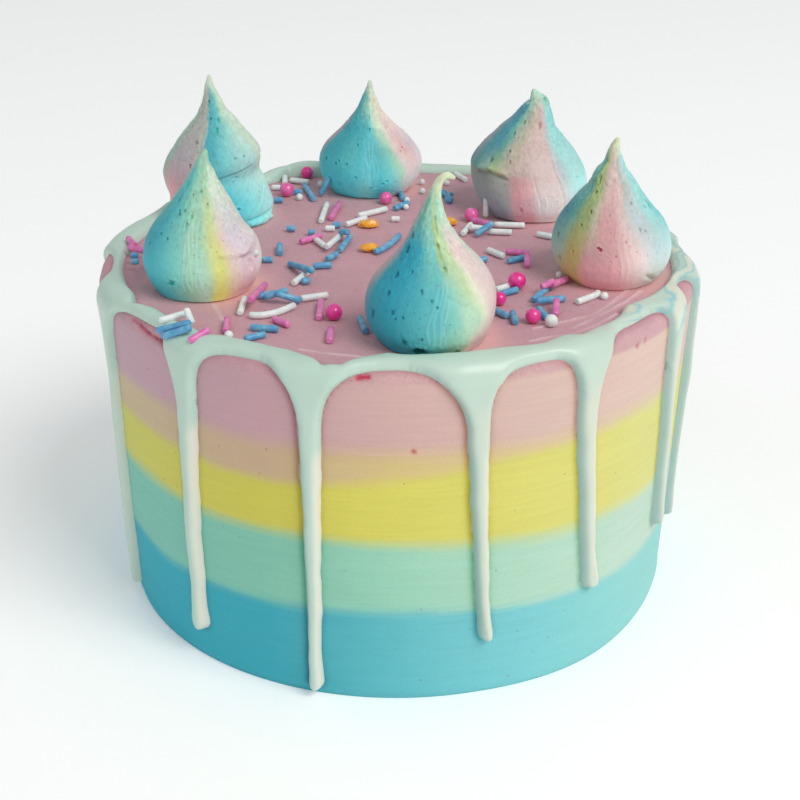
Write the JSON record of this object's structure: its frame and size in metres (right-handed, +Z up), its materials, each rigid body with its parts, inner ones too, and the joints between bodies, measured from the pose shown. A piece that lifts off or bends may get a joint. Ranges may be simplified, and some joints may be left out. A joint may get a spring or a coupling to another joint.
{
  "type": "party cake",
  "caption": "Tall round party cake in a banded buttercream coat, with a poured drip icing rim and meringue kisses standing on its flat top.",
  "frame": {"origin": "centre of the cake's flat underside, on the surface it stands on", "axes": "+Z up along the cake's axis, -Y towards the side that the picture shows, +X to the right in the picture"},
  "size_m": [0.1891, 0.1881, 0.1553],
  "materials": {
    "buttercream": "soft matte buttercream in blended bands, dusty pink over yellow, mint and turquoise blue",
    "drip_icing": "smooth satin poured icing, very pale mint",
    "meringue": "dry matte meringue streaked in blue, mint, yellow and pale pink, with small pores"
  },
  "bodies": {
    "root": {"cake": "buttercream", "drip_icing": "drip_icing", "meringue_1": "meringue", "meringue_2": "meringue", "meringue_3": "meringue", "meringue_4": "meringue", "meringue_5": "meringue", "meringue_6": "meringue"}
  },
  "joints": []
}
